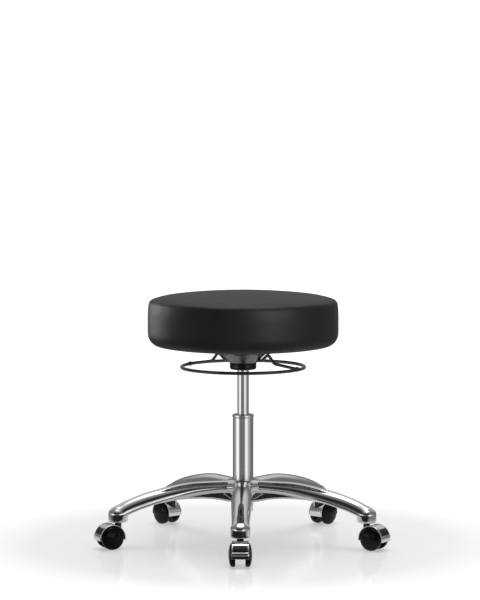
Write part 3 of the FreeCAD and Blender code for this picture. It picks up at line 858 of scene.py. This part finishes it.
def panel_mesh():
    """The dark insert seen through the hood's window, with fine ribs along its top."""
    verts, faces = [], []
    ys = np.linspace(-16.5, 16.5, 133)
    phis = np.concatenate([np.linspace(17.7, 40.0, 18), np.linspace(40.6, 47.2, 12)])
    for p in phis:
        c, s = math.cos(math.radians(p)), math.sin(math.radians(p))
        for y in ys:
            rib = 0.0
            if p > 40.3:
                rib = 0.28 * max(0.0, math.cos(2 * math.pi * y / 1.9))
            edge = min(1.0, (16.5 - abs(y)) / 0.8, (p - 17.7) / 0.9, (47.2 - p) / 0.9)
            r = 30.9 + 0.62 * math.sqrt(max(0.0, edge)) + rib * min(1.0, edge)
            verts.append((TRAIL + r * c, y, WHEEL_R + r * s))
    n = len(ys)
    for i in range(len(phis) - 1):
        for k in range(n - 1):
            faces.append((i * n + k, i * n + k + 1, (i + 1) * n + k + 1, (i + 1) * n + k))
    ob = obj_from("panel", verts, faces, M["satin"])
    sol = ob.modifiers.new("s", "SOLIDIFY")
    sol.thickness = 0.5 * MM
    sol.offset = -1
    return smooth(apply(ob), 60)


def wheel_mesh(side):
    prof = [
        (3.05, 10.3, 0.2), (7.0, 10.3, 0.4), (7.0, 11.4), (25.6, 11.4, 0.6), (27.5, 13.0, 1.0), (27.5, 18.4, 1.6), (26.9, 20.8, 1.6), (24.9, 22.9, 0.8),
        (24.2, 22.85, 0.3), (23.7, 23.25, 0.3), (20.0, 24.75, 6.0), (13.0, 26.3, 10.0), (5.0, 27.25, 4.0), (1.5, 27.38), (0.0, 27.38), (0.0, 23.2), (3.05, 23.2),
    ]
    ob = lathe("wheel", prof, M["nylon"], 96, n=5, angle=40)
    ob.data.transform(Matrix.Translation((TRAIL * MM, 0, WHEEL_R * MM)) @ Matrix.Rotation(math.radians(-90.0 * side), 4, "X"))
    return ob


hood0, panel0, wl0, wr0 = hood_mesh(), panel_mesh(), wheel_mesh(1), wheel_mesh(-1)
for n, (a, t) in enumerate(zip(LEG_AZ, TRAIL_AZ), 1):
    x, y = STEM_CIRCLE * math.cos(math.radians(a)), STEM_CIRCLE * math.sin(math.radians(a))
    b = "caster_%d" % n
    piece(turn(copy_of(hood0, b + "_shell"), t, x, y), b, "chromed_hood", b + "_hood")
    piece(turn(copy_of(panel0, b + "_panel"), t, x, y), b, "black_plastic")
    piece(turn(copy_of(wl0, b + "_disc_left"), t, x, y), b + "_wheel_left", "black_nylon", b + "_wheel_left")
    piece(turn(copy_of(wr0, b + "_disc_right"), t, x, y), b + "_wheel_right", "black_nylon", b + "_wheel_right")
drop(hood0, panel0, wl0, wr0)

for name, o in nodes.items():
    for p in o.data.polygons:
        p.use_smooth = True

# -------------------------------------------------------- floor, light, view
fl = Mat("studio_floor")
sep = fl.n("ShaderNodeSeparateXYZ")
fl.link(fl.co, sep.inputs[0])
dist = fl.math("SQRT", fl.math("ADD", fl.math("MULTIPLY", sep.outputs[0], sep.outputs[0]), fl.math("MULTIPLY", sep.outputs[1], sep.outputs[1])))
fl.put(Base_Color=fl.mix(fl.noise(3.0, 2.0), (0.89, 0.895, 0.892), (0.91, 0.914, 0.911)), Roughness=fl.ranged(fl.noise(6.0, 3.0), 0.3, 0.7, 0.10, 0.14))
fl.b.inputs["Specular IOR Level"].default_value = 0.45
em = fl.n("ShaderNodeEmission")
em.inputs[0].default_value = (1, 1, 1, 1)
em.inputs[1].default_value = 1.25
mx = fl.n("ShaderNodeMixShader")
fl.link(fl.ranged(dist, 0.50, 0.90, 0.0, 1.0), mx.inputs[0])
fl.link(fl.b.outputs[0], mx.inputs[1])
fl.link(em.outputs[0], mx.inputs[2])
# painted light: the floor glows with 0.43 emission within 0.5 m of the stool, fading out by 0.9 m, to lift the stool's
# cast shadow on it
painted_fill_glow = fl.n("ShaderNodeEmission")
fl.link(fl.ranged(dist, 0.5, 0.9, 0.43, 0.0), painted_fill_glow.inputs[1])
ad = fl.n("ShaderNodeAddShader")
fl.link(mx.outputs[0], ad.inputs[0])
fl.link(painted_fill_glow.outputs[0], ad.inputs[1])
# painted reflection: glossy rays see the floor as this glow instead of its shaded surface, 0.42 close under the stool,
# then bright to the sides and back and dark in the front sector
painted_reflection_glow = fl.n("ShaderNodeEmission")
faz = fl.math("MULTIPLY", fl.math("ARCTAN2", sep.outputs[0], fl.math("MULTIPLY", sep.outputs[1], -1.0)), 57.2958)
reflected_bright_sectors = fl.math("MAXIMUM", fl.math("SUBTRACT", 1.0, fl.ranged(faz, -86, -58, 0.0, 1.0)), fl.ranged(faz, 32, 56, 0.0, 1.0))
near = fl.ranged(dist, 0.26, 0.42, 0.42, 0.0)
far = fl.math("MULTIPLY", reflected_bright_sectors, fl.ranged(dist, 0.45, 0.80, 0.62, 0.16))
fl.link(fl.math("ADD", fl.math("MAXIMUM", near, far), 0.012), painted_reflection_glow.inputs[1])
# glossy rays get the painted reflection glow, all other rays the floor's own surface
lpf = fl.n("ShaderNodeLightPath")
mg = fl.n("ShaderNodeMixShader")
fl.link(lpf.outputs["Is Glossy Ray"], mg.inputs[0])
fl.link(ad.outputs[0], mg.inputs[1])
fl.link(painted_reflection_glow.outputs[0], mg.inputs[2])
fl.link(mg.outputs[0], fl.t.nodes["Material Output"].inputs["Surface"])
fv, ff = [], []
seg, radii = 96, [0.0, 0.2, 0.4, 0.6, 0.8, 0.95]
for r in radii:
    for k in range(seg):
        fv.append((r * math.cos(2 * math.pi * k / seg), r * math.sin(2 * math.pi * k / seg), 0.0))
for i in range(len(radii) - 1):
    for k in range(seg):
        l = (k + 1) % seg
        ff.append((i * seg + k, i * seg + l, (i + 1) * seg + l, (i + 1) * seg + k))
floor = obj_from("studio_floor", fv, ff, fl.m, 1.0)
weld(floor)

world = bpy.data.worlds.new("studio")
bpy.context.scene.world = world
world.use_nodes = True
wt = world.node_tree
bg = wt.nodes["Background"]


def wn(kind, **kw):
    nd = wt.nodes.new(kind)
    for k, v in kw.items():
        setattr(nd, k, v)
    return nd


def wm(op, a, b=None, c=None):
    nd = wn("ShaderNodeMath", operation=op)
    for i, v in enumerate((a, b, c)):
        if v is None:
            continue
        if isinstance(v, (int, float)):
            nd.inputs[i].default_value = v
        else:
            wt.links.new(v, nd.inputs[i])
    return nd.outputs[0]


def ws(src, lo, hi):
    """Smooth step up from lo to hi."""
    nd = wn("ShaderNodeMapRange", interpolation_type="SMOOTHSTEP")
    nd.inputs["From Min"].default_value = lo
    nd.inputs["From Max"].default_value = hi
    wt.links.new(src, nd.inputs["Value"])
    return nd.outputs["Result"]


co = wn("ShaderNodeTexCoord").outputs["Generated"]
sx = wn("ShaderNodeSeparateXYZ")
wt.links.new(co, sx.inputs[0])
X, Y, Z = sx.outputs
az = wm("MULTIPLY", wm("ARCTAN2", X, wm("MULTIPLY", Y, -1.0)), 57.2958)     # 0 at the front, + to the right
el = wm("MULTIPLY", wm("ARCSINE", wm("MINIMUM", wm("MAXIMUM", Z, -1.0), 1.0)), 57.2958)


def patch(a0, a1, e0, e1, soft_a=4.0, soft_e=6.0):
    f = wm("MULTIPLY", ws(az, a0 - soft_a, a0 + soft_a), wm("SUBTRACT", 1.0, ws(az, a1 - soft_a, a1 + soft_a)))
    g = wm("MULTIPLY", ws(el, e0 - soft_e, e0 + soft_e), wm("SUBTRACT", 1.0, ws(el, e1 - soft_e, e1 + soft_e)))
    return wm("MULTIPLY", f, g)


back = wm("MULTIPLY", wm("MAXIMUM", ws(az, 120, 150), wm("SUBTRACT", 1.0, ws(az, -150, -120))), ws(el, 10, 30))
level = wm("ADD", 0.17, wm("MULTIPLY", back, 0.42))
level = wm("ADD", level, wm("MULTIPLY", ws(el, 50, 78), 0.52))
dark = patch(-52, 40, 6, 40, 10, 6)
level = wm("MULTIPLY", level, wm("SUBTRACT", 1.0, wm("MULTIPLY", dark, 0.85)))
level = wm("MULTIPLY", level, wm("ADD", 0.35, wm("MULTIPLY", ws(el, -15, -11), 0.65)))
level = wm("ADD", level, wm("MULTIPLY", wm("SUBTRACT", 1.0, ws(el, -34, -20)), 0.5))
level = wm("ADD", level, wm("MULTIPLY", patch(-76, -43, -12, 8, 8, 1.5), 0.92))
level = wm("ADD", level, wm("MULTIPLY", patch(-106, -70, -12, 8, 10, 1.5), 0.28))
level = wm("ADD", level, wm("MULTIPLY", patch(22, 52, -12, 12, 8, 1.5), 0.76))
level = wm("ADD", level, wm("MULTIPLY", patch(44, 84, -12, 10, 10, 1.5), 0.28))
lp = wn("ShaderNodeLightPath")
seen = wn("ShaderNodeMix", data_type="FLOAT")
wt.links.new(lp.outputs["Is Camera Ray"], seen.inputs[0])
wt.links.new(level, seen.inputs[2])
seen.inputs[3].default_value = 1.25
wt.links.new(seen.outputs[0], bg.inputs["Strength"])
bg.inputs["Color"].default_value = (1.0, 1.0, 1.0, 1.0)


def area(name, loc, target, size, power, size_y=None, only=None):
    d = bpy.data.lights.new(name, "AREA")
    d.energy = power
    d.shape = "RECTANGLE"
    d.size = size
    d.size_y = size_y or size
    o = bpy.data.objects.new(name, d)
    bpy.context.scene.collection.objects.link(o)
    o.location = loc
    o.rotation_euler = (Vector(target) - Vector(loc)).to_track_quat("-Z", "Y").to_euler()
    if only:
        c = bpy.data.collections.new(name + "_lights_only")
        for p in only:
            c.objects.link(p)
        o.light_linking.receiver_collection = c
    return o


area("top_box", (0.1, 0.2, 2.6), (0, 0, 0.3), 1.7, 26.0)
# two boxes placed for the cushion alone: a rim from behind on the left, a broad one on the right
area("rim_box", (-1.55, 0.80, 0.80), (-0.18, 0.0, 0.54), 1.0, 15.0, 0.9, only=[seat])
area("right_box", (0.98, -1.45, 0.95), (0.10, -0.12, 0.54), 0.8, 21.0, 0.7, only=[seat])

cam_d = bpy.data.cameras.new("camera")
cam = bpy.data.objects.new("camera", cam_d)
bpy.context.scene.collection.objects.link(cam)
cam.location = (0.1255, -6.1887, 1.0858)
cam.rotation_euler = (math.radians(90 - 4.64), 0.0, math.radians(1.23))
cam_d.lens = 155.96
cam_d.sensor_width = 36.0
cam_d.clip_end = 100.0
bpy.context.scene.camera = cam
bpy.context.scene.view_settings.view_transform = "Standard"
